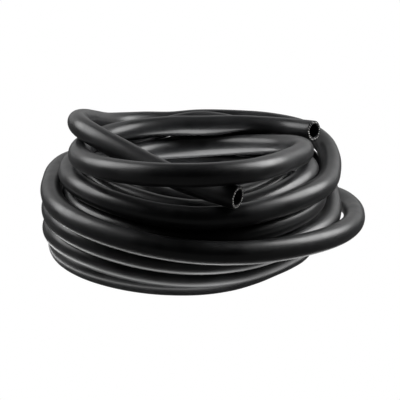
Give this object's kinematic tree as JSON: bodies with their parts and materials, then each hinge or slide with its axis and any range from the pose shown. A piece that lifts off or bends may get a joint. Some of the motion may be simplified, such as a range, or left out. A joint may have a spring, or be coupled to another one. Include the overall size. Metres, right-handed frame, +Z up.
{
  "type": "rubber gas tubing",
  "caption": "Soft black rubber tube with a round bore, lying in a loose coil with both ends free on top.",
  "frame": {"origin": "on the surface that the coil lies on, under the middle of its box", "axes": "+Z up, away from that surface; -Y towards the front, where the last end lies; +X to the right"},
  "size_m": [0.2272, 0.2306, 0.1042],
  "materials": {
    "rubber": "smooth satin black rubber"
  },
  "bodies": {
    "root": {"gas_tubing": "rubber"}
  },
  "joints": []
}
